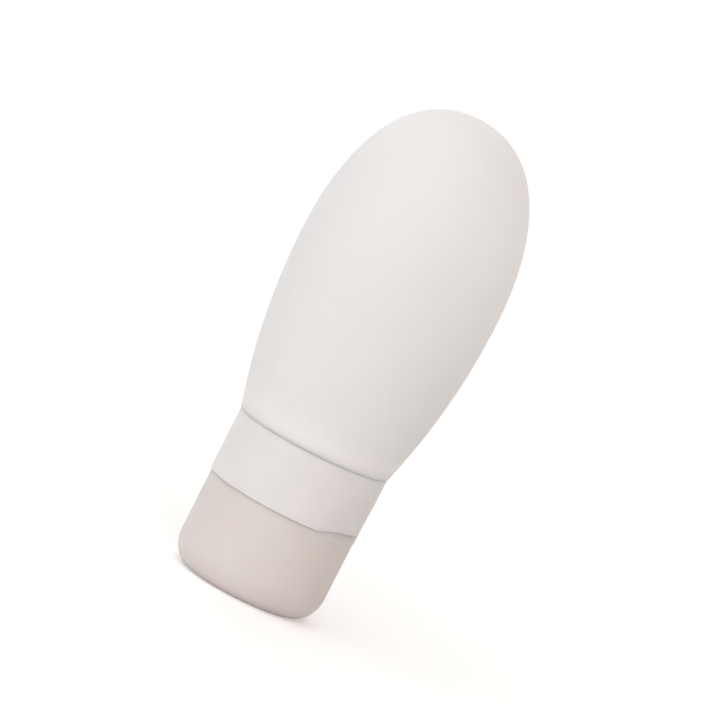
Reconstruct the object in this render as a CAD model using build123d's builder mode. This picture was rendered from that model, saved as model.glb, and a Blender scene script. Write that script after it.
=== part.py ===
from build123d import *
from math import asin, cos, degrees, radians, sin, sqrt
import os

# Travel squeeze bottle, standing on its closed lid: the lid's flat face is at z = 0
# and the soft body's dome is at the top. The thumb side faces +X and the hinge -X.
# All lengths are in millimetres.

# Body, the soft squeezable bottle
overall_height = 118.0
body_radius = 24.15
widest_height = 78.5
side_arc_radius = 151.0
dome_fullness_share = 0.625
body_wall = 2.0
shoulder_edge_round = 0.15
throat_rise = 1.2
funnel_height = 5.5
throat_round = 1.5

# Lid, the cup that the bottle stands on
lid_height = 21.85
lid_step = 0.35
lid_wall = 1.4
lid_floor = 1.6
lid_corner_width = 5.0
lid_corner_height = 6.5
lid_rim_bevel = 0.1

# Thumb lip, the part of the lid's rim that rises into the collar, with sloping ends
lip_rise = 1.0
lip_half_angle = 20.0
lip_foot_angle = 33.0
lip_proud = 0.15
lip_drop = 1.4
lip_thickness = 0.7
lip_clearance = 0.3

# Collar, the screw cap that carries the lid
split_gap = 0.05
collar_height = 15.0
collar_radius = 18.25
collar_wall = 1.4
collar_edge_bevel = 0.1
deck_thickness = 1.5
shoulder_gap = 0.02
skirt_wall = 1.2
skirt_setback = 1.0
collar_rib_count = 12
collar_rib_thickness = 0.8
collar_rib_setback = 3.0
locating_ring_drop = 1.0
locating_ring_width = 1.2
locating_clearance = 0.3

# Thumb scoop, a shallow dish in the collar above the lip. Its floor would run out at
# the run-out height and angle, and its outline stops a little short of them
scoop_depth = 0.25
scoop_height = 9.8
scoop_half_angle = 34.0
scoop_corner_round = 3.5
scoop_runout_height = 11.0
scoop_runout_angle = 37.0
thumb_boss_rise = 1.6

# Spout, the tapered turret that reaches down into the lid
spout_length = 12.0
spout_radius = 11.6
spout_taper = 1.5
spout_wall = 1.3
spout_end_thickness = 1.4
spout_edge_round = 0.8
spout_root_round = 0.6
orifice_radius = 2.2
countersink_depth = 1.0

# Drip valve and its retainer, in a stepped bore behind the spout's hole
valve_radius = 7.6
valve_rim_width = 2.0
valve_rim_height = 1.8
valve_skin = 0.7
valve_skin_rise = 0.5
valve_slit_length = 5.0
valve_slit_width = 0.15
valve_clearance = 0.05
retainer_height = 2.0
retainer_wall = 1.6
retainer_flange_width = 0.9
retainer_flange_height = 0.8

# Plug inside the lid, which closes the spout's hole
plug_radius = 3.1
plug_core_radius = 1.1
plug_gap = 0.4
plug_root_round = 1.0

# Neck, its stiffening ring and its gasket
mouth_radius = 8.8
ring_wall = 1.1
ring_length = 9.8
ring_flange_thickness = 1.0
ring_flange_overlap = 0.1
ring_edge_round = 0.3
barb_height = 0.35
barb_half_length = 0.8
barb_count = 2
neck_wall = 1.85
thread_gap = 1.25
gasket_thickness = 1.2
gasket_inner_clearance = 0.1
gasket_outer_clearance = 0.3

# Hinge, flush in a notch at the back
hinge_inset = 1.5
barrel_radius = 1.3
pin_radius = 0.6
pin_clearance = 0.05
pin_end_inset = 0.2
pin_end_chamfer = 0.15
notch_radius = 2.6
tongue_width = 5.0
ear_width = 1.6
hinge_side_gap = 0.3
housing_wall = 1.2
housing_margin = 1.1
hinge_boss_rise = 1.2

# One overrun serves every cut, and one tolerance finds edges by their height
cut_overrun = 1.0
height_tolerance = 0.01

# Heights, worked out upwards from the lid
collar_bottom = lid_height + split_gap
collar_top = collar_bottom + collar_height
shoulder_height = collar_top + shoulder_gap
deck_top = collar_bottom + deck_thickness
gasket_top = deck_top + gasket_thickness
mouth_height = gasket_top + ring_flange_thickness
spout_end = collar_bottom - spout_length
spout_end_inside = spout_end + spout_end_thickness
retainer_bottom = spout_end_inside + valve_rim_height
retainer_top = retainer_bottom + retainer_height

# Radii, worked out outwards from the mouth
neck_bore_radius = mouth_radius + ring_wall
neck_radius = neck_bore_radius + neck_wall
skirt_bore_radius = neck_radius + thread_gap
skirt_radius = skirt_bore_radius + skirt_wall
shell_bore_radius = collar_radius - collar_wall
lid_radius = collar_radius - lid_step
lid_bore_radius = lid_radius - lid_wall
spout_bore_radius = spout_radius - spout_wall
spout_tip_radius = spout_radius - spout_taper
valve_bore_radius = valve_radius + valve_clearance

# The hinge axis runs along Y, half way up the gap between lid and collar
hinge_x = hinge_inset - collar_radius
hinge_z = lid_height + split_gap / 2
tongue_half = tongue_width / 2
ear_inner = tongue_half + hinge_side_gap
ear_outer = ear_inner + ear_width
lid_notch_half = sqrt(lid_radius**2 - hinge_x**2) + hinge_side_gap
housing_half = lid_notch_half + housing_margin
housing_radius = -hinge_x - notch_radius - housing_wall
housing_bottom = hinge_z - notch_radius - housing_wall
hinge_boss_top = hinge_z + notch_radius + hinge_boss_rise

# The thumb lip's half widths, at its foot and along its top
lip_foot_half = lid_radius * sin(radians(lip_foot_angle))
lip_top_half = lid_radius * sin(radians(lip_half_angle))
thumb_boss_top = deck_top + thumb_boss_rise


def side_radius(height, inset):
    """Radius of the body's side arc at a height, moved inwards by an inset."""
    arc_radius = side_arc_radius - inset
    return body_radius - side_arc_radius + sqrt(arc_radius**2 - (widest_height - height) ** 2)


def body_curve(bottom_height, inset):
    """Draw the side arc and the dome, from a height up to the axis."""
    arc_radius = side_arc_radius - inset
    sweep = degrees(asin((widest_height - bottom_height) / arc_radius))
    wide = body_radius - inset
    top = overall_height - inset
    rise = dome_fullness_share * (top - widest_height)
    CenterArc((body_radius - side_arc_radius, widest_height), arc_radius, -sweep, sweep)
    Bezier(
        (wide, widest_height),
        (wide, widest_height + rise),
        (dome_fullness_share * wide, top),
        (0, top),
    )


def lip_outline(lift):
    """Draw the lip as seen from the thumb side, moved up by a lift."""
    Polyline(
        (-lip_foot_half, lid_height - lip_drop + lift),
        (-lip_foot_half, lid_height + lift),
        (-lip_top_half, lid_height + lip_rise + lift),
        (lip_top_half, lid_height + lip_rise + lift),
        (lip_foot_half, lid_height + lift),
        (lip_foot_half, lid_height - lip_drop + lift),
        close=True,
    )


def circles_at(builder, height):
    """Circular edges of an unfinished piece at a height, the smallest first."""
    circles = builder.edges().filter_by(GeomType.CIRCLE)
    level = circles.filter_by(lambda edge: abs(edge.center().Z - height) < height_tolerance)
    return level.sort_by(SortBy.RADIUS)


def barb_heights():
    """Heights of the ring's barbs, spread evenly along the part inside the neck."""
    spacing = ring_length / (barb_count + 1)
    return [mouth_height + spacing * (index + 1) for index in range(barb_count)]


def barb_profile(height):
    """Draw one barb's pointed section, standing out of the ring."""
    root = neck_bore_radius - barb_height
    Polyline(
        (root, height - 2 * barb_half_length),
        (neck_bore_radius + barb_height, height),
        (root, height + 2 * barb_half_length),
        close=True,
    )


# Squeeze body: the outside first, then the cavity and the neck's bore
with BuildPart() as squeeze_body:
    with BuildSketch(Plane.XZ):
        with BuildLine():
            Polyline(
                (0, overall_height),
                (0, mouth_height),
                (neck_radius, mouth_height),
                (neck_radius, shoulder_height),
                (side_radius(shoulder_height, 0), shoulder_height),
            )
            body_curve(shoulder_height, 0)
        make_face()
    revolve(axis=Axis.Z)
    fillet(circles_at(squeeze_body, shoulder_height)[-1], radius=shoulder_edge_round)
    cavity_start = shoulder_height + throat_rise
    funnel_end = cavity_start + funnel_height
    with BuildSketch(Plane.XZ):
        with BuildLine():
            FilletPolyline(
                (0, overall_height - body_wall),
                (0, mouth_height - cut_overrun),
                (neck_bore_radius, mouth_height - cut_overrun),
                (neck_bore_radius, cavity_start),
                (side_radius(funnel_end, body_wall), funnel_end),
                radius=[0, 0, throat_round],
            )
            body_curve(funnel_end, body_wall)
        make_face()
    revolve(axis=Axis.Z, mode=Mode.SUBTRACT)
    for barb_height_now in barb_heights():
        with BuildSketch(Plane.XZ):
            with BuildLine():
                barb_profile(barb_height_now)
            make_face()
        revolve(axis=Axis.Z, mode=Mode.SUBTRACT)

# Neck ring: a flanged sleeve with barbs that grip the soft neck from inside
with BuildPart() as neck_ring:
    flange_radius = neck_radius + ring_flange_overlap
    with BuildSketch(Plane.XZ):
        with BuildLine():
            FilletPolyline(
                (mouth_radius, gasket_top),
                (flange_radius, gasket_top),
                (flange_radius, mouth_height),
                (neck_bore_radius, mouth_height),
                (neck_bore_radius, mouth_height + ring_length),
                (mouth_radius, mouth_height + ring_length),
                radius=[ring_edge_round, ring_edge_round, ring_edge_round, 0, 0, ring_edge_round],
                close=True,
            )
        make_face()
    revolve(axis=Axis.Z)
    for barb_height_now in barb_heights():
        with BuildSketch(Plane.XZ):
            with BuildLine():
                barb_profile(barb_height_now)
            make_face()
        revolve(axis=Axis.Z)

# Gasket: a flat washer between the neck ring and the collar's deck
with BuildPart() as gasket:
    with BuildSketch(Plane.XY.offset(deck_top)):
        Circle(skirt_bore_radius - gasket_outer_clearance)
        Circle(spout_bore_radius + gasket_inner_clearance, mode=Mode.SUBTRACT)
    extrude(amount=gasket_thickness)

# Thumb scoop cutter: its floor is bent to wider curves than the collar's, both round the
# bottle and upwards, so that the scoop is deepest in the middle of its lower end
with BuildPart() as scoop_cutter:
    scoop_floor = collar_radius - scoop_depth
    scoop_fall = scoop_floor - collar_radius * cos(radians(scoop_runout_angle))
    scoop_shift = (collar_radius**2 - scoop_floor**2) / (2 * scoop_fall)
    scoop_bend = (scoop_runout_height**2 + scoop_depth**2) / (2 * scoop_depth)
    with BuildSketch(Plane.XZ.move(Location((-scoop_shift, 0))).rotated((0, 0, -scoop_runout_angle))):
        with Locations((scoop_shift + scoop_floor, collar_bottom - cut_overrun)):
            Rectangle(
                scoop_depth + cut_overrun,
                scoop_height + 2 * cut_overrun,
                align=(Align.MIN, Align.MIN),
            )
        with Locations((scoop_shift + scoop_floor + scoop_bend, collar_bottom)):
            Circle(scoop_bend, mode=Mode.INTERSECT)
    revolve(axis=Axis((-scoop_shift, 0), (0, 0, 1)), revolution_arc=2 * scoop_runout_angle)
    scoop_width = 2 * collar_radius * sin(radians(scoop_half_angle))
    with BuildSketch(Plane.YZ):
        with Locations((0, collar_bottom + scoop_height)):
            RectangleRounded(
                scoop_width,
                2 * scoop_height,
                scoop_corner_round,
                align=(Align.CENTER, Align.MAX),
            )
    extrude(amount=collar_radius + cut_overrun, mode=Mode.INTERSECT)

# Room for the lip in the collar's lower edge
with BuildPart() as lip_notch:
    with BuildSketch(Plane.YZ):
        with BuildLine():
            lip_outline(split_gap)
        make_face()
    extrude(amount=collar_radius + cut_overrun)
    with BuildSketch(Plane.XY.offset(collar_bottom - lip_drop)):
        Circle(lid_radius - lip_thickness - lip_clearance)
    extrude(amount=lip_drop + lip_rise + cut_overrun, mode=Mode.SUBTRACT)

# Hinge notches: round slots about the hinge axis. The collar's makes room for the lid's
# tongue, and the lid's two make room for the collar's ears and for the lid's own swing
with BuildPart() as collar_notch:
    with BuildSketch(Plane.XZ):
        with Locations((hinge_x, hinge_z)):
            Circle(notch_radius)
    extrude(amount=ear_inner, both=True)

with BuildPart() as lid_notches:
    for side in (-1, 1):
        with BuildSketch(Plane.XZ.offset(side * (tongue_half + lid_notch_half) / 2)):
            with Locations((hinge_x, hinge_z)):
                Circle(notch_radius)
        extrude(amount=(lid_notch_half - tongue_half) / 2, both=True)

# Ears: two lugs that hang from the collar and hold the pin, trimmed flush with its outside
with BuildPart() as ears:
    for side in (-1, 1):
        with BuildSketch(Plane.XZ.offset(side * (ear_inner + ear_outer) / 2)):
            with Locations((hinge_x, hinge_z)):
                Circle(barrel_radius)
                Rectangle(2 * barrel_radius, deck_top - hinge_z, align=(Align.CENTER, Align.MIN))
        extrude(amount=ear_width / 2, both=True)
    with BuildSketch(Plane.XY.offset(hinge_z - barrel_radius)):
        Circle(collar_radius)
    extrude(amount=deck_top - hinge_z + barrel_radius, mode=Mode.INTERSECT)

# Tongue: the lid's single knuckle on a short web, trimmed flush in the same way
with BuildPart() as tongue:
    web_depth = notch_radius + housing_wall
    with BuildSketch(Plane.XZ):
        with Locations((hinge_x, hinge_z)):
            Circle(barrel_radius)
        with Locations((hinge_x + barrel_radius, hinge_z)):
            Rectangle(hinge_x + barrel_radius + lid_radius, web_depth, align=(Align.MAX, Align.MAX))
    extrude(amount=tongue_half, both=True)
    with BuildSketch(Plane.XY.offset(hinge_z - web_depth)):
        Circle(collar_radius)
    extrude(amount=web_depth + barrel_radius, mode=Mode.INTERSECT)

# Collar: a double-walled screw cap whose deck carries the spout
with BuildPart() as collar:
    with BuildSketch(Plane.XZ):
        with BuildLine():
            FilletPolyline(
                (spout_bore_radius, deck_top),
                (spout_bore_radius - spout_taper, retainer_top),
                (valve_bore_radius, retainer_top),
                (valve_bore_radius, spout_end_inside),
                (orifice_radius, spout_end_inside),
                (orifice_radius, spout_end + countersink_depth),
                (orifice_radius + countersink_depth, spout_end),
                (spout_tip_radius, spout_end),
                (spout_radius, collar_bottom),
                (collar_radius - collar_edge_bevel, collar_bottom),
                (collar_radius, collar_bottom + collar_edge_bevel),
                (collar_radius, collar_top - collar_edge_bevel),
                (collar_radius - collar_edge_bevel, collar_top),
                (shell_bore_radius, collar_top),
                (shell_bore_radius, deck_top),
                (skirt_radius, deck_top),
                (skirt_radius, collar_top - skirt_setback),
                (skirt_bore_radius, collar_top - skirt_setback),
                (skirt_bore_radius, deck_top),
                radius=[0] * 7 + [spout_edge_round, spout_root_round] + [0] * 10,
                close=True,
            )
        make_face()
    revolve(axis=Axis.Z)
    # Ribs tie the skirt to the outer shell
    pocket_middle = (skirt_radius + shell_bore_radius) / 2
    pocket_width = shell_bore_radius - skirt_radius
    with BuildSketch(Plane.XY.offset(deck_top)):
        with PolarLocations(pocket_middle, collar_rib_count, 180 / collar_rib_count):
            Rectangle(pocket_width + skirt_wall, collar_rib_thickness)
    extrude(amount=collar_top - collar_rib_setback - deck_top)
    # Solid bosses close the pocket behind the hinge notch and behind the thumb lip
    for side, half_width, top in ((-1, ear_outer, hinge_boss_top), (1, lip_foot_half, thumb_boss_top)):
        with BuildSketch(Plane.XY.offset(deck_top)):
            with Locations((side * pocket_middle, 0)):
                Rectangle(2 * pocket_middle, 2 * half_width)
            Circle(shell_bore_radius + collar_wall / 2, mode=Mode.INTERSECT)
            Circle(skirt_radius - skirt_wall / 2, mode=Mode.SUBTRACT)
        extrude(amount=top - deck_top)
    # The ring that centres the lid's rim stops short of the hinge
    ring_radius = lid_bore_radius - locating_clearance
    with BuildSketch(Plane.XY.offset(collar_bottom)):
        Circle(ring_radius)
        Circle(ring_radius - locating_ring_width, mode=Mode.SUBTRACT)
        with Locations((-ring_radius, 0)):
            Rectangle(ring_radius, 2 * (housing_half + locating_clearance), mode=Mode.SUBTRACT)
    extrude(amount=-locating_ring_drop)
    add(collar_notch.part, mode=Mode.SUBTRACT)
    add(ears.part)
    with BuildSketch(Plane.XZ):
        with Locations((hinge_x, hinge_z)):
            Circle(pin_radius)
    extrude(amount=ear_outer, both=True, mode=Mode.SUBTRACT)
    add(scoop_cutter.part, mode=Mode.SUBTRACT)
    add(lip_notch.part, mode=Mode.SUBTRACT)

# Drip valve: a rim that is clamped in the spout and a thin skin with a cross slit
with BuildPart() as drip_valve:
    valve_opening = valve_radius - valve_rim_width
    with BuildSketch(Plane.XY.offset(spout_end_inside)):
        Circle(valve_radius)
        Circle(valve_opening, mode=Mode.SUBTRACT)
    extrude(amount=valve_rim_height)
    with BuildSketch(Plane.XY.offset(spout_end_inside + valve_skin_rise)):
        Circle(valve_opening + valve_rim_width / 2)
        Rectangle(valve_slit_length, valve_slit_width, mode=Mode.SUBTRACT)
        Rectangle(valve_slit_width, valve_slit_length, mode=Mode.SUBTRACT)
    extrude(amount=valve_skin)

# Valve retainer: a flanged ring pressed in behind the valve
with BuildPart() as valve_retainer:
    retainer_bore_radius = valve_radius - retainer_wall
    retainer_flange_radius = valve_radius + retainer_flange_width
    with BuildSketch(Plane.XZ):
        with BuildLine():
            Polyline(
                (retainer_bore_radius, retainer_bottom),
                (valve_radius, retainer_bottom),
                (valve_radius, retainer_top),
                (retainer_flange_radius, retainer_top),
                (retainer_flange_radius, retainer_top + retainer_flange_height),
                (retainer_bore_radius, retainer_top + retainer_flange_height),
                close=True,
            )
        make_face()
    revolve(axis=Axis.Z)

# Thumb lip: a strip of the lid's rim that stands a little proud and rises in the middle
with BuildPart() as thumb_lip:
    with BuildSketch(Plane.YZ):
        with BuildLine():
            lip_outline(0)
        make_face()
    extrude(amount=collar_radius)
    with BuildSketch(Plane.XZ):
        with BuildLine():
            Polyline(
                (lid_radius - lip_thickness, lid_height + lip_rise),
                (lid_radius + lip_proud, lid_height + lip_rise),
                (lid_radius + lip_proud, lid_height - lip_drop + lip_proud),
                (lid_radius, lid_height - lip_drop),
                (lid_radius - lip_thickness, lid_height - lip_drop),
                close=True,
            )
        make_face()
    revolve(axis=Axis.Z, mode=Mode.INTERSECT)

# Lid: a cup with a softly rounded base edge, a central plug and the hinge's tongue
with BuildPart() as lid:
    corner_start = lid_radius - lid_corner_width
    corner_centre = (corner_start, lid_corner_height)
    with BuildSketch(Plane.XZ):
        with BuildLine():
            Polyline(
                (corner_start, lid_floor),
                (0, lid_floor),
                (0, 0),
                (corner_start, 0),
            )
            EllipticalCenterArc(
                corner_centre, lid_corner_width, lid_corner_height, start_angle=-90, arc_size=90
            )
            Polyline(
                (lid_radius, lid_corner_height),
                (lid_radius, lid_height),
                (lid_bore_radius, lid_height),
                (lid_bore_radius, lid_corner_height),
            )
            EllipticalCenterArc(
                corner_centre,
                lid_corner_width - lid_wall,
                lid_corner_height - lid_floor,
                start_angle=-90,
                arc_size=90,
            )
        make_face()
    revolve(axis=Axis.Z)
    chamfer(circles_at(lid, lid_height), length=lid_rim_bevel)
    # The plug's cone follows the countersink, moved down by the gap
    plug_tip = spout_end + countersink_depth
    plug_tip_radius = orifice_radius - plug_gap
    plug_shoulder = plug_tip - (plug_radius - plug_tip_radius)
    with BuildSketch(Plane.XZ):
        with BuildLine():
            Polyline(
                (plug_core_radius, lid_floor / 2),
                (plug_radius, lid_floor / 2),
                (plug_radius, plug_shoulder),
                (plug_tip_radius, plug_tip),
                (plug_core_radius, plug_tip),
                close=True,
            )
        make_face()
    revolve(axis=Axis.Z)
    fillet(circles_at(lid, lid_floor)[1], radius=plug_root_round)
    # A housing closes the inside of the lid behind the hinge notches
    with BuildSketch(Plane.XY.offset(housing_bottom)):
        with Locations((-lid_radius, 0)):
            Rectangle(lid_radius, 2 * housing_half)
        Circle(lid_radius - lid_wall / 2, mode=Mode.INTERSECT)
        Circle(housing_radius, mode=Mode.SUBTRACT)
    extrude(amount=lid_height - housing_bottom)
    add(lid_notches.part, mode=Mode.SUBTRACT)
    add(tongue.part)
    with BuildSketch(Plane.XZ):
        with Locations((hinge_x, hinge_z)):
            Circle(pin_radius + pin_clearance)
    extrude(amount=tongue_half, both=True, mode=Mode.SUBTRACT)
    add(thumb_lip.part)

# Hinge pin: pressed into the ears, with a running fit in the tongue
with BuildPart() as hinge_pin:
    pin_half_length = ear_outer - pin_end_inset
    with BuildSketch(Plane.XZ):
        with Locations((hinge_x, hinge_z)):
            Circle(pin_radius)
    extrude(amount=pin_half_length, both=True)
    chamfer(hinge_pin.edges().filter_by(GeomType.CIRCLE), length=pin_end_chamfer)

# Each finished piece is written under its own name
pieces = {
    "squeeze_body": squeeze_body,
    "neck_ring": neck_ring,
    "gasket": gasket,
    "collar": collar,
    "drip_valve": drip_valve,
    "valve_retainer": valve_retainer,
    "lid": lid,
    "hinge_pin": hinge_pin,
}
os.makedirs("parts", exist_ok=True)
for label, piece in pieces.items():
    piece.part.label = label
    export_step(piece.part, f"parts/{label}.step")
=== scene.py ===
# %% [markdown]
# A travel squeeze bottle stands on its closed flip lid. Starting from the frame, and not
# from an empty scene, keeps every new mesh on the sizes that the hinge and the thread
# need.

# %% Load the frame
import bmesh
import bpy
import math
from mathutils import Matrix, Vector


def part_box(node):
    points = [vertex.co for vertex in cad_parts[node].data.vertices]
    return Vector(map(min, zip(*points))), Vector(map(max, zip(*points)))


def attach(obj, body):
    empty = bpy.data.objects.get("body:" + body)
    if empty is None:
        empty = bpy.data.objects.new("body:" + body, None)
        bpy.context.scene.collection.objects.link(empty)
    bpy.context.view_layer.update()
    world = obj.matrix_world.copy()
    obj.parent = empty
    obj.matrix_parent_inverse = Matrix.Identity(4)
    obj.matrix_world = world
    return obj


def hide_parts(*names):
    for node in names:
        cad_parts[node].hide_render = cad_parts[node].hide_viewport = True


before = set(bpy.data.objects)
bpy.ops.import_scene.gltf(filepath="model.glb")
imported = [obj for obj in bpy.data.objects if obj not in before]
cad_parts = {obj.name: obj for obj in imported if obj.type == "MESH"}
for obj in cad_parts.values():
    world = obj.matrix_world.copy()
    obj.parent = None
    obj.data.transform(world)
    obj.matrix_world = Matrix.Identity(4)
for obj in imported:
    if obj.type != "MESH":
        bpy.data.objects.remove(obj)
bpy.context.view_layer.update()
node_names = sorted(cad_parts)
print("nodes in the frame:", node_names)

# %% [markdown]
# The sizes that matter come from the frame: how wide and tall the soft body is, how high
# the collar reaches, and where the gasket, the neck ring and the valve sit. The few that a
# box can't tell, such as the wall of the soft body, are written here in millimetres and
# turned into metres once.

# %% Sizes
MM = 0.001
body_low, body_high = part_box("squeeze_body")
collar_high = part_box("collar")[1]
gasket_low, gasket_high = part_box("gasket")
ring_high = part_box("neck_ring")[1]
valve_low, valve_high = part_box("drip_valve")

body_radius = body_high.x
body_top = body_high.z
mouth_height = body_low.z
collar_top = collar_high.z
widest_height = 78.5 * MM
side_arc_radius = 151 * MM
dome_fullness = 0.625
body_wall = 2 * MM
shoulder_gap = 0.02 * MM
shoulder_height = collar_top + shoulder_gap
shoulder_round = 0.03 * MM
neck_bore_radius = 9.9 * MM
neck_wall = 1.85 * MM
neck_radius = neck_bore_radius + neck_wall
thread_room = 1.25 * MM
skirt_bore_radius = neck_radius + thread_room
print("height of the bottle in mm:", round(body_top / MM, 2))
print("widest radius in mm:", round(body_radius / MM, 2))

# %% [markdown]
# Round pieces are drawn as half a cross-section, the way a turner cuts a profile. The
# profile could be pulled into shape by hand, point by point, but then it would leave the
# real sizes. The helpers below give the points of an arc and of a Bezier curve as (radius,
# height) pairs, so that an outline needs only its corners, its arc centres and its curve
# handles.

# %% Outline helpers
def arc_points(centre, radius, start_degrees, end_degrees, steps):
    """Points along a circular arc, both ends included."""
    points = []
    for step in range(steps + 1):
        angle = math.radians(start_degrees + (end_degrees - start_degrees) * step / steps)
        points.append((centre[0] + radius * math.cos(angle), centre[1] + radius * math.sin(angle)))
    return points


def bezier_points(first, second, third, fourth, steps):
    """Points along a cubic Bezier curve, both ends included."""
    points = []
    for step in range(steps + 1):
        t = step / steps
        shares = ((1 - t) ** 3, 3 * t * (1 - t) ** 2, 3 * t**2 * (1 - t), t**3)
        handles = (first, second, third, fourth)
        points.append(tuple(sum(s * h[axis] for s, h in zip(shares, handles)) for axis in (0, 1)))
    return points


def rounded_corner(before, corner, after, radius, steps):
    """Points of the arc that rounds one corner of an outline."""
    back = (Vector(before) - Vector(corner)).normalized()
    ahead = (Vector(after) - Vector(corner)).normalized()
    half_angle = back.angle(ahead) / 2
    reach = radius / math.tan(half_angle)
    centre = Vector(corner) + (back + ahead).normalized() * radius / math.sin(half_angle)
    first = Vector(corner) + back * reach - centre
    last = Vector(corner) + ahead * reach - centre
    start = math.atan2(first.y, first.x)
    sweep = math.remainder(math.atan2(last.y, last.x) - start, math.tau)
    return arc_points(centre, radius, math.degrees(start), math.degrees(start + sweep), steps)


print("an arc of 8 steps has", len(arc_points((0, 0), 1, 0, 90, 8)), "points")

# %% [markdown]
# The silicone, the frosted lid and the white plastic all owe their look to how light
# scatters under the surface, so each finish starts from Blender's Principled shader. The
# next helpers add what a real surface has on top of that: noise of a given real size, a
# ramp between two shades, a roughness that varies, and a fine bump.

# %% Finish helpers
def start_finish(name):
    """A new material with its node tree, its shader and the object's own coordinates."""
    material = bpy.data.materials.new(name)
    material.use_nodes = True
    tree = material.node_tree
    coordinates = tree.nodes.new("ShaderNodeTexCoord")
    return material, tree, tree.nodes["Principled BSDF"], coordinates.outputs["Object"]


def set_constants(shader, **values):
    """Write plain values on the shader's own sockets."""
    for words, value in values.items():
        shader.inputs[words.replace("_", " ")].default_value = value


def stretched(tree, place, factors):
    """The same coordinates, squeezed along each axis, so that a pattern runs long."""
    mapping = tree.nodes.new("ShaderNodeMapping")
    mapping.inputs["Scale"].default_value = factors
    tree.links.new(place, mapping.inputs["Vector"])
    return mapping.outputs["Vector"]


def add_noise(tree, place, lump_size, detail=2.0):
    """Noise whose lumps have about the given size in metres."""
    noise = tree.nodes.new("ShaderNodeTexNoise")
    noise.inputs["Scale"].default_value = 1 / lump_size
    noise.inputs["Detail"].default_value = detail
    tree.links.new(place, noise.inputs["Vector"])
    return noise.outputs["Fac"]


def shade_between(tree, share, dark, light, low=0.3, high=0.7):
    """A colour that runs from a dark shade to a light one with the noise."""
    ramp = tree.nodes.new("ShaderNodeValToRGB")
    ramp.color_ramp.elements[0].position = low
    ramp.color_ramp.elements[1].position = high
    ramp.color_ramp.elements[0].color = (*dark, 1)
    ramp.color_ramp.elements[1].color = (*light, 1)
    tree.links.new(share, ramp.inputs["Fac"])
    return ramp.outputs["Color"]


def value_between(tree, share, low, high):
    """A number that runs from low to high with the noise."""
    span = tree.nodes.new("ShaderNodeMapRange")
    span.inputs["To Min"].default_value = low
    span.inputs["To Max"].default_value = high
    tree.links.new(share, span.inputs["Value"])
    return span.outputs["Result"]


def add_bump(tree, height, depth, under=None):
    """A bump of the given depth in metres, laid over an earlier one where there is one."""
    bump = tree.nodes.new("ShaderNodeBump")
    bump.inputs["Distance"].default_value = depth
    tree.links.new(height, bump.inputs["Height"])
    if under is not None:
        tree.links.new(under, bump.inputs["Normal"])
    return bump.outputs["Normal"]


print("finish helpers are ready")

# %% [markdown]
# The soft body is milky silicone. Light goes a few millimetres in and comes out again,
# which takes the edge off every shadow. A plain white paint would look like chalk, and
# clear transmission would show the far wall, so subsurface scattering carries the look. A
# moulded silicone wall is never quite even: wide, faint clouds vary its shade, and a
# powdery grain keeps its highlight broad.

# %% Milky silicone
def make_milky_silicone():
    """Satin white silicone for the squeeze body."""
    material, tree, shader, place = start_finish("milky_silicone")
    set_constants(
        shader,
        Subsurface_Weight=1.0,
        Subsurface_Radius=(1.0, 0.92, 0.88),
        Subsurface_Scale=4 * MM,
        Sheen_Weight=0.12,
        Sheen_Roughness=0.6,
        IOR=1.41,
    )
    clouds = add_noise(tree, place, 26 * MM)
    colour = shade_between(tree, clouds, (0.914, 0.87, 0.852), (0.928, 0.89, 0.875))
    tree.links.new(colour, shader.inputs["Base Color"])
    patches = add_noise(tree, place, 6 * MM)
    tree.links.new(value_between(tree, patches, 0.44, 0.56), shader.inputs["Roughness"])
    swell = add_bump(tree, add_noise(tree, place, 3 * MM), 0.03 * MM)
    grain = add_bump(tree, add_noise(tree, place, 0.14 * MM), 0.006 * MM, under=swell)
    tree.links.new(grain, shader.inputs["Normal"])
    return material


milky_silicone = make_milky_silicone()
print("finish:", milky_silicone.name)

# %% [markdown]
# The collar, the neck ring and the valve's retainer are white polypropylene. It is a
# little translucent as well, but denser than the silicone, with a tighter highlight and
# the very fine drag lines that a spark-textured mould leaves. A picture could hold those
# lines, but noise that is stretched along the axis needs none and never repeats.

# %% White plastic
def make_white_plastic():
    """Satin white polypropylene for the collar and the pieces inside it."""
    material, tree, shader, place = start_finish("white_polypropylene")
    set_constants(
        shader,
        Subsurface_Weight=1.0,
        Subsurface_Radius=(1.0, 0.9, 0.85),
        Subsurface_Scale=1.5 * MM,
        IOR=1.49,
    )
    clouds = add_noise(tree, place, 9 * MM)
    colour = shade_between(tree, clouds, (0.785, 0.765, 0.755), (0.82, 0.80, 0.79))
    tree.links.new(colour, shader.inputs["Base Color"])
    tree.links.new(value_between(tree, clouds, 0.36, 0.46), shader.inputs["Roughness"])
    drag = stretched(tree, place, (1, 1, 0.12))
    lines = add_bump(tree, add_noise(tree, drag, 0.5 * MM), 0.006 * MM)
    grain = add_bump(tree, add_noise(tree, place, 0.1 * MM), 0.005 * MM, under=lines)
    tree.links.new(grain, shader.inputs["Normal"])
    return material


white_polypropylene = make_white_plastic()
print("finish:", white_polypropylene.name)

# %% [markdown]
# The lid is the same plastic without the white pigment, etched to a frost. Some light goes
# straight on into the cup, and most scatters inside the wall and comes out warm and a step
# greyer than the collar. A little rough transmission does the first, and subsurface
# scattering under a slightly pink base colour does the second. Transmission alone would
# turn the closed cup dark, and scattering alone would make it look solid.

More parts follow.
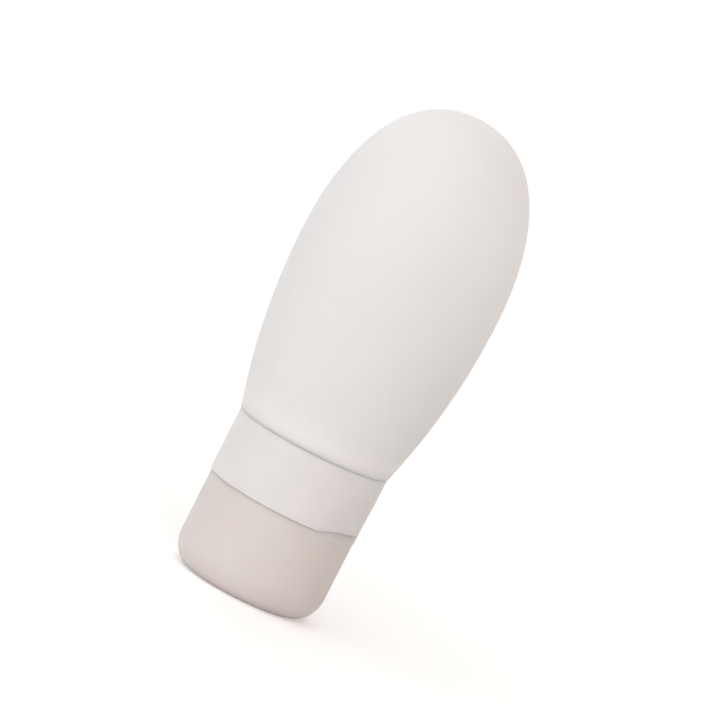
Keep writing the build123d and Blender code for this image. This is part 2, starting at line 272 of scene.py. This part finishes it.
# %% Frosted lid plastic
def make_frosted_plastic():
    """Frosted natural polypropylene for the flip lid."""
    material, tree, shader, place = start_finish("frosted_polypropylene")
    set_constants(
        shader,
        Transmission_Weight=0.2,
        Subsurface_Weight=1.0,
        Subsurface_Radius=(1.0, 0.9, 0.85),
        Subsurface_Scale=2 * MM,
        IOR=1.49,
    )
    clouds = add_noise(tree, place, 7 * MM)
    colour = shade_between(tree, clouds, (0.966, 0.822, 0.78), (0.976, 0.842, 0.81))
    tree.links.new(colour, shader.inputs["Base Color"])
    tree.links.new(value_between(tree, clouds, 0.38, 0.48), shader.inputs["Roughness"])
    etch = add_bump(tree, add_noise(tree, place, 0.35 * MM), 0.012 * MM)
    frost = add_bump(tree, add_noise(tree, place, 0.09 * MM), 0.006 * MM, under=etch)
    tree.links.new(frost, shader.inputs["Normal"])
    return material


frosted_polypropylene = make_frosted_plastic()
print("finish:", frosted_polypropylene.name)

# %% [markdown]
# Two finishes are left. The drip valve and the gasket are thin, clear silicone, glossier
# and wetter-looking than the body, and some light passes straight through them. The hinge
# pin is drawn steel wire. A plain grey metal would do from afar, but fine noise that runs
# along the wire's own length, which is the Y axis here, gives it its long, soft glints.

# %% Seal silicone and pin steel
def make_clear_silicone():
    """Clear milky silicone for the valve and the gasket."""
    material, tree, shader, place = start_finish("clear_silicone")
    set_constants(
        shader,
        Transmission_Weight=0.35,
        Subsurface_Weight=0.4,
        Subsurface_Scale=1.5 * MM,
        IOR=1.41,
    )
    clouds = add_noise(tree, place, 4 * MM)
    colour = shade_between(tree, clouds, (0.74, 0.735, 0.725), (0.82, 0.815, 0.81))
    tree.links.new(colour, shader.inputs["Base Color"])
    tree.links.new(value_between(tree, clouds, 0.24, 0.36), shader.inputs["Roughness"])
    film = add_bump(tree, add_noise(tree, place, 0.6 * MM), 0.01 * MM)
    tree.links.new(film, shader.inputs["Normal"])
    return material


def make_drawn_steel():
    """Drawn stainless wire for the hinge pin."""
    material, tree, shader, place = start_finish("drawn_steel")
    set_constants(shader, Metallic=1.0)
    along = stretched(tree, place, (1, 0.04, 1))
    lines = add_noise(tree, along, 0.08 * MM)
    colour = shade_between(tree, lines, (0.50, 0.50, 0.51), (0.66, 0.66, 0.67))
    tree.links.new(colour, shader.inputs["Base Color"])
    tree.links.new(value_between(tree, lines, 0.22, 0.42), shader.inputs["Roughness"])
    tree.links.new(add_bump(tree, lines, 0.004 * MM), shader.inputs["Normal"])
    return material


clear_silicone = make_clear_silicone()
drawn_steel = make_drawn_steel()
print("finishes:", clear_silicone.name, "and", drawn_steel.name)

# %% [markdown]
# The soft pieces and the threads come from Geometry Nodes. A tree of nodes can be drawn in
# the editor, but here it is built line by line, so three things repeat: making a tree with
# named inputs, adding a node with its links, and closing with smooth shading, real corners
# and a finish. A few helpers do these, and the trees after them stay short.

# %% A small kit for building trees
def new_tree(name, inputs):
    """An empty geometry tree with named inputs, and its input and output nodes."""
    tree = bpy.data.node_groups.new(name, "GeometryNodeTree")
    tree.interface.new_socket("Outline", in_out="INPUT", socket_type="NodeSocketGeometry")
    for label, kind in inputs:
        tree.interface.new_socket(label, in_out="INPUT", socket_type="NodeSocket" + kind)
    tree.interface.new_socket("Piece", in_out="OUTPUT", socket_type="NodeSocketGeometry")
    return tree, tree.nodes.new("NodeGroupInput"), tree.nodes.new("NodeGroupOutput")


def add_node(tree, kind, links=None, **settings):
    """A node of one kind, with its settings made and its inputs linked or filled."""
    node = tree.nodes.new(kind)
    for key, value in settings.items():
        setattr(node, key, value)
    for socket, source in (links or {}).items():
        if isinstance(source, bpy.types.NodeSocket):
            tree.links.new(source, node.inputs[socket])
        else:
            node.inputs[socket].default_value = source
    return node


def add_sum(tree, operation, first, second):
    """One step of arithmetic between two numbers or sockets."""
    return add_node(tree, "ShaderNodeMath", {0: first, 1: second}, operation=operation).outputs[0]


def laid_flat(tree, outline, shift):
    """The outline with its radius along X and its height along -Y, as a sweep needs it."""
    point = add_node(tree, "GeometryNodeInputPosition").outputs[0]
    parts = add_node(tree, "ShaderNodeSeparateXYZ", {0: point})
    radius = add_sum(tree, "SUBTRACT", parts.outputs["X"], shift)
    height = add_sum(tree, "MULTIPLY", parts.outputs["Z"], -1.0)
    flat = add_node(tree, "ShaderNodeCombineXYZ", {"X": radius, "Y": height}).outputs[0]
    return add_node(tree, "GeometryNodeSetPosition", {"Geometry": outline, "Position": flat})


def finished(tree, mesh, given, result):
    """Smooth faces, sharp corners, real geometry and the finish, up to the tree's output."""
    smooth = add_node(tree, "GeometryNodeSetShadeSmooth", {"Geometry": mesh, "Shade Smooth": True})
    angle = add_node(tree, "GeometryNodeInputMeshEdgeAngle")
    corner = add_node(
        tree,
        "FunctionNodeCompare",
        {"A": angle.outputs["Unsigned Angle"], "B": given.outputs["Sharp angle"]},
        operation="GREATER_THAN",
    )
    sharp = add_node(
        tree,
        "GeometryNodeSetShadeSmooth",
        {"Geometry": smooth.outputs[0], "Selection": corner.outputs[0], "Shade Smooth": False},
        domain="EDGE",
    )
    real = add_node(tree, "GeometryNodeRealizeInstances", {"Geometry": sharp.outputs[0]})
    coated = add_node(
        tree,
        "GeometryNodeSetMaterial",
        {"Geometry": real.outputs[0], "Material": given.outputs["Finish"]},
    )
    tree.links.new(coated.outputs[0], result.inputs[0])


print("tree helpers are ready")

# %% [markdown]
# This tree turns an outline into a round piece. It stands the outline on a circle, sweeps
# it once round, merges the points that meet on the axis, and marks only the real corners as
# sharp. A Screw modifier could do the sweep alone. The tree does the rest as well, and it
# serves every turned piece, with the number of steps and the finish as its inputs.

# %% The turning tree
def make_turning_tree():
    """Sweep an outline once round the Z axis."""
    inputs = [
        ("Path radius", "Float"),
        ("Steps around", "Int"),
        ("Merge distance", "Float"),
        ("Sharp angle", "Float"),
        ("Finish", "Material"),
    ]
    tree, given, result = new_tree("turned_piece", inputs)
    path_radius = given.outputs["Path radius"]
    circle = add_node(
        tree,
        "GeometryNodeCurvePrimitiveCircle",
        {"Resolution": given.outputs["Steps around"], "Radius": path_radius},
    )
    path = add_node(tree, "GeometryNodeSetCurveNormal", {"Curve": circle.outputs[0]})
    path.mode = "Z_UP"
    flat = laid_flat(tree, given.outputs["Outline"], path_radius)
    swept = add_node(
        tree,
        "GeometryNodeCurveToMesh",
        {"Curve": path.outputs[0], "Profile Curve": flat.outputs[0]},
    )
    merged = add_node(
        tree,
        "GeometryNodeMergeByDistance",
        {"Geometry": swept.outputs[0], "Distance": given.outputs["Merge distance"]},
    )
    finished(tree, merged.outputs[0], given, result)
    return tree


turning_tree = make_turning_tree()
print("turning tree:", len(turning_tree.nodes), "nodes")

# %% [markdown]
# A tree works on an object, so the outline becomes a curve object, the tree becomes its
# modifier, and the evaluated result is copied into a plain mesh. The volume is printed
# because it tells at once whether a closed piece has its faces outwards: it is positive
# only then.

# %% Run a tree on an outline
def outline_curve(points, closed):
    """A curve object through (radius, height) points in the XZ plane."""
    curve = bpy.data.curves.new("outline", "CURVE")
    curve.dimensions = "3D"
    spline = curve.splines.new("POLY")
    spline.points.add(len(points) - 1)
    for point, (radius, height) in zip(spline.points, points):
        point.co = (radius, 0, height, 1)
    spline.use_cyclic_u = closed
    source = bpy.data.objects.new("outline", curve)
    bpy.context.scene.collection.objects.link(source)
    return source


def grow(tree, points, closed, name, values):
    """Run the tree on an outline and keep its result as one plain mesh object."""
    source = outline_curve(points, closed)
    modifier = source.modifiers.new(tree.name, "NODES")
    modifier.node_group = tree
    for item in tree.interface.items_tree:
        if item.in_out == "INPUT" and item.name in values:
            modifier[item.identifier] = values[item.name]
    depsgraph = bpy.context.evaluated_depsgraph_get()
    mesh = bpy.data.meshes.new_from_object(source.evaluated_get(depsgraph))
    bpy.data.objects.remove(source)
    mesh.name = name
    piece = bpy.data.objects.new(name, mesh)
    bpy.context.scene.collection.objects.link(piece)
    return piece


def report(piece):
    """Print how many faces a piece has and the volume that they close."""
    shape = bmesh.new()
    shape.from_mesh(piece.data)
    volume = shape.calc_volume(signed=True) / MM**3
    open_edges = sum(not edge.is_manifold for edge in shape.edges)
    measured = f"{len(shape.faces)} faces, {volume:.1f} mm3, {open_edges} open edges"
    print(piece.name, measured)
    shape.free()


merge_distance = 0.001 * MM
turned_corner = math.radians(35)


def turn(points, closed, name, finish, steps_around):
    """A round piece from its outline."""
    values = {
        "Path radius": body_radius,
        "Steps around": steps_around,
        "Merge distance": merge_distance,
        "Sharp angle": turned_corner,
        "Finish": finish,
    }
    piece = grow(turning_tree, points, closed, name, values)
    report(piece)
    return piece


print("trees run on outlines now")

# %% [markdown]
# The squeeze body is one moulded bag: a long side arc, a dome, a small round at the
# shoulder, and a stiff neck that the collar hides. A stretched ball would come near it, but
# its sides would bend too much and its shoulder would be soft. The outline runs down the
# outside from the top of the dome and back up the inside, a wall's thickness away. The
# cavity is real, because thin silicone only looks right when light meets its inner side too.

# %% Squeeze body outline
throat_rise = 1.2 * MM
throat_round = 1.5 * MM
funnel_rise = 5.5 * MM
barb_half_height = 0.8 * MM
barb_depth = 0.35 * MM


def side_at(height, inset):
    """Radius of the side arc at a height, moved inwards by an inset."""
    reach = side_arc_radius - inset
    return body_radius - side_arc_radius + math.sqrt(reach**2 - (widest_height - height) ** 2)


def dome_points(inset, steps):
    """The dome from the axis down to the widest height."""
    wide = body_radius - inset
    top = body_top - inset
    handle_height = widest_height + dome_fullness * (top - widest_height)
    return bezier_points(
        (0, top), (dome_fullness * wide, top), (wide, handle_height), (wide, widest_height), steps
    )


def outside_points():
    """Dome, side arc and shoulder round, then the neck down to the mouth."""
    arc_centre = (body_radius - side_arc_radius, widest_height)
    round_height = shoulder_height + shoulder_round
    round_centre = (side_at(round_height, shoulder_round), round_height)
    drop = (widest_height - round_height) / (side_arc_radius - shoulder_round)
    fall = math.degrees(math.asin(drop))
    points = dome_points(0, 56)
    points += arc_points(arc_centre, side_arc_radius, 0, -fall, 36)[1:]
    points += arc_points(round_centre, shoulder_round, -fall, -90, 8)[1:]
    points += [(neck_radius, shoulder_height), (neck_radius, mouth_height)]
    return points


def inside_points():
    """The neck's bore with its barb grooves, the funnel and the cavity, up to the axis."""
    throat = (neck_bore_radius, shoulder_height + throat_rise)
    funnel_end = throat[1] + funnel_rise
    funnel_top = (side_at(funnel_end, body_wall), funnel_end)
    reach = side_arc_radius - body_wall
    fall = math.degrees(math.asin((widest_height - funnel_end) / reach))
    arc_centre = (body_radius - side_arc_radius, widest_height)
    points = [(neck_bore_radius, mouth_height)]
    barb_spacing = (ring_high.z - mouth_height) / 3
    for barb in (1, 2):
        barb_centre = mouth_height + barb * barb_spacing
        points.append((neck_bore_radius, barb_centre - barb_half_height))
        points.append((neck_bore_radius + barb_depth, barb_centre))
        points.append((neck_bore_radius, barb_centre + barb_half_height))
    points += rounded_corner(points[-1], throat, funnel_top, throat_round, 6)
    points += arc_points(arc_centre, reach, -fall, 0, 24)
    points += list(reversed(dome_points(body_wall, 32)))[1:]
    return points


silicone_outline = outside_points() + inside_points()
print("squeeze body outline:", len(silicone_outline), "points")

# %% [markdown]
# The outline goes through the tree with 192 steps, so many that no straight edge shows in
# the bottle's outline.

# %% Squeeze body
silicone_shell = turn(silicone_outline, False, "silicone_shell", milky_silicone, 192)
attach(silicone_shell, "bottle")
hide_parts("squeeze_body")

# %% [markdown]
# The gasket is punched from sheet, but its edges are still soft, and a plain washer with
# sharp corners would look like cardboard. The outline is a rectangle with four rounded
# corners, turned by the same tree.

# %% Gasket
def rounded_box_points(low, high, radius, steps):
    """A closed rectangle in (radius, height), with its four corners rounded."""
    corners = [(low[0], low[1]), (high[0], low[1]), (high[0], high[1]), (low[0], high[1])]
    points = []
    for index, corner in enumerate(corners):
        after = corners[(index + 1) % len(corners)]
        points += rounded_corner(corners[index - 1], corner, after, radius, steps)
    return points


gasket_bore_radius = 10.4 * MM
gasket_edge_round = 0.25 * MM
gasket_outline = rounded_box_points(
    (gasket_bore_radius, gasket_low.z), (gasket_high.x, gasket_high.z), gasket_edge_round, 4
)
soft_gasket = turn(list(reversed(gasket_outline)), True, "soft_gasket", clear_silicone, 128)
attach(soft_gasket, "seal")
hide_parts("gasket")

# %% [markdown]
# The drip valve is a thick rim with a thin, slightly domed skin, cut by a cross of two
# slits. Squeezing the bottle opens its four flaps. The slits could be dark lines in the
# material, but only a real cut shows from both sides. So the rim and the skin are one
# outline, and a Boolean with two thin blades cuts the cross, as the knife does in the
# factory.

# %% Drip valve
valve_radius = valve_high.x
rim_width = 2 * MM
rim_round = 0.3 * MM
valve_opening = valve_radius - rim_width
skin_lift = 0.5 * MM
skin_thickness = 0.7 * MM
skin_low = valve_low.z + skin_lift
skin_high = skin_low + skin_thickness
skin_sag = 0.3 * MM
slit_length = 5 * MM
slit_width = 0.15 * MM


def valve_points():
    """Underside of the skin, round the rim, and back over the skin to the axis."""
    low_middle = (0, skin_low - skin_sag)
    under = bezier_points(
        low_middle, (valve_opening / 2, skin_low - skin_sag), (valve_opening / 2, skin_low),
        (valve_opening, skin_low), 16,
    )
    over = bezier_points(
        (valve_opening, skin_high), (valve_opening / 2, skin_high),
        (valve_opening / 2, skin_high - skin_sag), (0, skin_high - skin_sag), 16,
    )
    corners = [
        under[-1],
        (valve_opening, valve_low.z),
        (valve_radius, valve_low.z),
        (valve_radius, valve_high.z),
        (valve_opening, valve_high.z),
        over[0],
    ]
    points = list(under)
    for before, corner, after in zip(corners, corners[1:], corners[2:]):
        points += rounded_corner(before, corner, after, rim_round, 4)
    return points + over


def cut_cross(piece):
    """Cut two crossed slits through the middle of the skin."""
    blades = bmesh.new()
    blade_height = 4 * skin_thickness
    for size in ((slit_length, slit_width), (slit_width, slit_length)):
        scale = Matrix.Diagonal((size[0], size[1], blade_height, 1))
        place = Matrix.Translation((0, 0, (skin_low + skin_high) / 2)) @ scale
        bmesh.ops.create_cube(blades, size=1, matrix=place)
    mesh = bpy.data.meshes.new("blades")
    blades.to_mesh(mesh)
    blades.free()
    cutter = bpy.data.objects.new("blades", mesh)
    bpy.context.scene.collection.objects.link(cutter)
    modifier = piece.modifiers.new("cross", "BOOLEAN")
    modifier.object = cutter
    modifier.solver = "EXACT"
    modifier.use_self = True
    depsgraph = bpy.context.evaluated_depsgraph_get()
    piece.data = bpy.data.meshes.new_from_object(piece.evaluated_get(depsgraph))
    piece.modifiers.clear()
    bpy.data.objects.remove(cutter)


slit_valve = turn(list(reversed(valve_points())), False, "slit_valve", clear_silicone, 96)
cut_cross(slit_valve)
report(slit_valve)
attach(slit_valve, "cap")
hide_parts("drip_valve")

# %% [markdown]
# The thread is one and a half turns of ridge on the neck, and the same inside the
# collar's skirt. A Screw modifier winds such a ridge, but ends it with a blunt step. On the
# real neck it fades out at both ends, so that it starts to grip without one. So a second
# tree sweeps a section along a helix, and takes the pitch, the turns and the fade.

# %% The thread tree
def make_thread_tree():
    """Sweep a ridge's section along a right-hand helix, tapered at its ends."""
    inputs = [
        ("Helix radius", "Float"),
        ("Pitch", "Float"),
        ("Turns", "Float"),
        ("Start height", "Float"),
        ("Steps per turn", "Int"),
        ("Fade", "Float"),
        ("Sharp angle", "Float"),
        ("Finish", "Material"),
    ]
    tree, given, result = new_tree("thread_ridge", inputs)
    rise = add_sum(tree, "MULTIPLY", given.outputs["Pitch"], given.outputs["Turns"])
    helix = add_node(
        tree,
        "GeometryNodeCurveSpiral",
        {
            "Resolution": given.outputs["Steps per turn"],
            "Rotations": given.outputs["Turns"],
            "Start Radius": given.outputs["Helix radius"],
            "End Radius": given.outputs["Helix radius"],
            "Height": rise,
        },
    )
    lift = add_node(tree, "ShaderNodeCombineXYZ", {"Z": given.outputs["Start height"]})
    raised = add_node(
        tree,
        "GeometryNodeTransform",
        {"Geometry": helix.outputs[0], "Translation": lift.outputs[0]},
    )
    path = add_node(tree, "GeometryNodeSetCurveNormal", {"Curve": raised.outputs[0]})
    path.mode = "Z_UP"
    along = add_node(tree, "GeometryNodeSplineParameter").outputs["Factor"]
    left = add_sum(tree, "SUBTRACT", 1.0, along)
    nearest = add_sum(tree, "MINIMUM", along, left)
    fade = add_node(
        tree,
        "ShaderNodeMapRange",
        {"Value": nearest, "From Max": given.outputs["Fade"], "To Min": 0.05},
        interpolation_type="SMOOTHSTEP",
    )
    tapered = add_node(
        tree,
        "GeometryNodeSetCurveRadius",
        {"Curve": path.outputs[0], "Radius": fade.outputs[0]},
    )
    flat = laid_flat(tree, given.outputs["Outline"], 0.0)
    swept = add_node(
        tree,
        "GeometryNodeCurveToMesh",
        {
            "Curve": tapered.outputs[0],
            "Profile Curve": flat.outputs[0],
            "Scale": fade.outputs[0],
            "Fill Caps": True,
        },
    )
    finished(tree, swept.outputs[0], given, result)
    return tree


thread_tree = make_thread_tree()
print("thread tree:", len(thread_tree.nodes), "nodes")

# %% [markdown]
# Both ridges follow the same helix, but the collar's lies half a pitch nearer the body,
# so that turning the collar home pulls it up against the gasket. Each ridge is sunk a
# little into the wall that carries it, so that no light shows under it.

# %% Threads on the neck and in the collar
thread_pitch = 3.2 * MM
thread_turns = 1.5
thread_start = mouth_height + thread_pitch / 2
thread_fade = 0.06
ridge_corner = math.radians(50)
ridge_height = 1.0 * MM
ridge_foot = 0.8 * MM
ridge_crest = 0.35 * MM
ridge_sunk = 0.12 * MM


def ridge_points(side):
    """The ridge's section: side is 1 to stand outwards and -1 to stand inwards."""
    section = [
        (-ridge_sunk, -ridge_foot),
        (0, -ridge_foot),
        (ridge_height, -ridge_crest),
        (ridge_height, ridge_crest),
        (0, ridge_foot),
        (-ridge_sunk, ridge_foot),
    ]
    points = [(side * radius, height) for radius, height in section]
    return points if side < 0 else list(reversed(points))


def make_thread(name, side, helix_radius, start_height, finish):
    """One thread ridge as a mesh."""
    values = {
        "Helix radius": helix_radius,
        "Pitch": thread_pitch,
        "Turns": thread_turns,
        "Start height": start_height,
        "Steps per turn": 96,
        "Fade": thread_fade,
        "Sharp angle": ridge_corner,
        "Finish": finish,
    }
    ridge = grow(thread_tree, ridge_points(side), True, name, values)
    report(ridge)
    return ridge


neck_thread = make_thread("neck_thread", 1, neck_radius, thread_start, milky_silicone)
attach(neck_thread, "bottle")
collar_start = thread_start + thread_pitch / 2
collar_thread = make_thread(
    "collar_thread", -1, skirt_bore_radius, collar_start, white_polypropylene
)
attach(collar_thread, "cap")

# %% [markdown]
# The hard pieces keep the meshes that the frame brought, because those hold the hinge,
# the thumb lip and the spout to a few hundredths of a millimetre, with their small edge
# bevels. A Bevel modifier would round those edges once more and open the split line, so
# they only get their finishes, by name.

# %% Finish the hard pieces
hard_finishes = {
    "collar": white_polypropylene,
    "neck_ring": white_polypropylene,
    "valve_retainer": white_polypropylene,
    "lid": frosted_polypropylene,
    "hinge_pin": drawn_steel,
}
for node_name, finish in hard_finishes.items():
    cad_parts[node_name].material_slots[0].material = finish
    print(node_name, "is finished in", finish.name)

# %% [markdown]
# The floor is a plain pale sheet. A white world alone would do behind the bottle, but then
# its foot would have no shadow. Seen by the camera, in a reflection or through the frosted
# lid, the floor is lifted to white by a little light of its own, which lights nothing else,
# and it still takes the bottle's shadow. The world does the same: white to look at, and
# softer as a light.

# %% Floor
background_rays = ("Is Camera Ray", "Is Glossy Ray", "Is Transmission Ray")


def seen_directly(tree):
    """One for a ray that shows the background, and nought for a ray that lights."""
    path = tree.nodes.new("ShaderNodeLightPath")
    total = path.outputs[background_rays[0]]
    for label in background_rays[1:]:
        total = add_sum(tree, "MAXIMUM", total, path.outputs[label])
    return total


floor_drop = 0.05 * MM


def make_floor(half_size, lift):
    """A large flat sheet just under the lid's face, lifted by some light of its own."""
    corners = [(half_size * x, half_size * y) for x, y in ((-1, -1), (1, -1), (1, 1), (-1, 1))]
    mesh = bpy.data.meshes.new("floor")
    mesh.from_pydata([(x, y, -floor_drop) for x, y in corners], [], [(0, 1, 2, 3)])
    material, tree, shader, place = start_finish("floor_paper")
    fibres = add_noise(tree, place, 0.8 * MM)
    paper = shade_between(tree, fibres, (0.87, 0.87, 0.87), (0.89, 0.89, 0.89))
    tree.links.new(paper, shader.inputs["Base Color"])
    set_constants(shader, Roughness=0.9, Specular_IOR_Level=0.0, Emission_Color=(1, 1, 1, 1))
    glow = add_sum(tree, "MULTIPLY", seen_directly(tree), lift)
    tree.links.new(glow, shader.inputs["Emission Strength"])
    mesh.materials.append(material)
    floor = bpy.data.objects.new("floor", mesh)
    bpy.context.scene.collection.objects.link(floor)
    return floor


floor = make_floor(half_size=12.0, lift=0.3)
print("floor is", round(floor.dimensions.x, 1), "m wide")

# %% [markdown]
# The bottle leans in the photograph, but the model stands upright, so the camera rolls
# instead. Its rise and its roll were fitted to the outline and to the split line between
# the collar and the lid, which is level on the real bottle. A long lens from far off keeps
# the sides as parallel as they are in the photograph.

# %% Camera
image_size = 720
pixel = 0.2227 * MM
camera_distance = 900 * MM
camera_azimuth = math.radians(25)
camera_elevation = math.radians(6)
camera_roll = math.radians(27)
axis_pixel = (361.1, 351.6)
axis_height = 60 * MM

to_camera = Vector(
    (
        math.sin(camera_azimuth) * math.cos(camera_elevation),
        -math.cos(camera_azimuth) * math.cos(camera_elevation),
        math.sin(camera_elevation),
    )
)
level_right = Vector((math.cos(camera_azimuth), math.sin(camera_azimuth), 0))
level_up = to_camera.cross(level_right)
picture_right = math.cos(camera_roll) * level_right + math.sin(camera_roll) * level_up
picture_up = math.cos(camera_roll) * level_up - math.sin(camera_roll) * level_right


def add_camera():
    """The camera at the photograph's angle, rolled so that the bottle leans."""
    aside = (image_size / 2 - axis_pixel[0]) * pixel * picture_right
    below = (image_size / 2 - axis_pixel[1]) * pixel * picture_up
    target = Vector((0, 0, axis_height)) + aside - below
    data = bpy.data.cameras.new("camera")
    data.lens = data.sensor_width * camera_distance / (image_size * pixel)
    camera = bpy.data.objects.new("camera", data)
    bpy.context.scene.collection.objects.link(camera)
    turn_matrix = Matrix((picture_right, picture_up, to_camera)).transposed().to_4x4()
    camera.matrix_world = Matrix.Translation(target + to_camera * camera_distance) @ turn_matrix
    bpy.context.scene.camera = camera
    return camera


camera = add_camera()
print("lens in mm:", round(camera.data.lens, 1))

# %% [markdown]
# The photograph looks as if it was taken in a light tent. Its light comes from the front
# and from the left, and on the right it is dim and a little warm. So the world
# gives nearly all the light, as a sky with one bright side, one dim side and a bright patch
# behind the bottle, which shows at the edges. A small warm lamp with a narrow beam lifts
# the dome's right shoulder.

# %% Light helpers
def add_lamp(name, direction, distance, size, power, aim_height, spread_degrees):
    """A square soft lamp that faces a point on the bottle's axis."""
    data = bpy.data.lights.new(name, "AREA")
    data.size = size
    data.energy = power
    data.spread = math.radians(spread_degrees)
    lamp = bpy.data.objects.new(name, data)
    bpy.context.scene.collection.objects.link(lamp)
    place = direction.normalized() * distance
    lamp.location = place + Vector((0, 0, aim_height))
    lamp.rotation_euler = place.to_track_quat("Z", "Y").to_euler()
    lamp.visible_camera = False
    return lamp


def towards(tree, direction, side, facing, values, kind="LINEAR"):
    """A value that runs between two as a ray turns to face a side, from -1 away to 1 at it."""
    aim = {0: direction, 1: side}
    share = add_node(tree, "ShaderNodeVectorMath", aim, operation="DOT_PRODUCT").outputs["Value"]
    span = {"Value": share, "From Min": facing[0], "From Max": facing[1]}
    span.update({"To Min": values[0], "To Max": values[1]})
    return add_node(tree, "ShaderNodeMapRange", span, interpolation_type=kind).outputs["Result"]


def level_side(angle_degrees, rise_degrees):
    """A direction so many degrees right of the camera and so many above the horizon."""
    level_front = Vector((0, 0, 1)).cross(level_right)
    angle, rise = math.radians(angle_degrees), math.radians(rise_degrees)
    flat = math.sin(angle) * level_right - math.cos(angle) * level_front
    return math.cos(rise) * flat + Vector((0, 0, math.sin(rise)))


print("the camera's own side points to", [round(x, 2) for x in level_side(0, 0)])

# %% [markdown]
# A picture of a real light tent could light the bottle, but no part of it could be tuned
# alone. This sky is three soft turns of brightness, each with its own side, so that one
# number moves one thing: the front light, the dim side or the glow behind the edges.

# %% Lamp and sky
sky_levels = (0.38, 2.05)
dim_side_share = 0.05
back_glow = 0.9
white_light = (1.0, 1.0, 1.0)
warm_light = (1.0, 0.86, 0.78)


def add_world(bright_side, dim_side, back_side):
    """A sky that is bright but for one dim, warm side, and white to look at."""
    world = bpy.data.worlds.new("studio")
    world.use_nodes = True
    tree = world.node_tree
    background = tree.nodes["Background"]
    direction = tree.nodes.new("ShaderNodeTexCoord").outputs["Generated"]
    lit = towards(tree, direction, bright_side, (-1, 1), sky_levels)
    shaded = towards(tree, direction, dim_side, (0, 0.97), (1, dim_side_share), "SMOOTHSTEP")
    behind = towards(tree, direction, back_side, (0.5, 0.95), (0, back_glow), "SMOOTHSTEP")
    level = add_sum(tree, "ADD", add_sum(tree, "MULTIPLY", lit, shaded), behind)
    warmth = towards(tree, direction, dim_side, (-0.3, 0.9), (0, 1))
    tint = shade_between(tree, warmth, white_light, warm_light, 0.0, 1.0)
    seen = seen_directly(tree)
    colour = add_node(tree, "ShaderNodeMix", {0: seen, 6: tint, 7: (1, 1, 1, 1)}, data_type="RGBA")
    tree.links.new(colour.outputs[2], background.inputs["Color"])
    strength = add_node(tree, "ShaderNodeMix", {0: seen, 2: level, 3: 1.0}, data_type="FLOAT")
    tree.links.new(strength.outputs[0], background.inputs["Strength"])
    bpy.context.scene.world = world
    return world


fill_lamp = add_lamp(
    "fill_lamp",
    direction=level_side(88, 12),
    distance=130 * MM,
    size=60 * MM,
    power=0.004,
    aim_height=98 * MM,
    spread_degrees=75,
)
fill_lamp.data.color = (1.0, 0.93, 0.89)
studio = add_world(
    bright_side=level_side(35, -10),
    dim_side=level_side(99, 12),
    back_side=level_side(180, 10),
)
bpy.context.scene.view_settings.view_transform = "Standard"
print("lamp power in W:", round(fill_lamp.data.energy, 4), "and the sky is", studio.name)
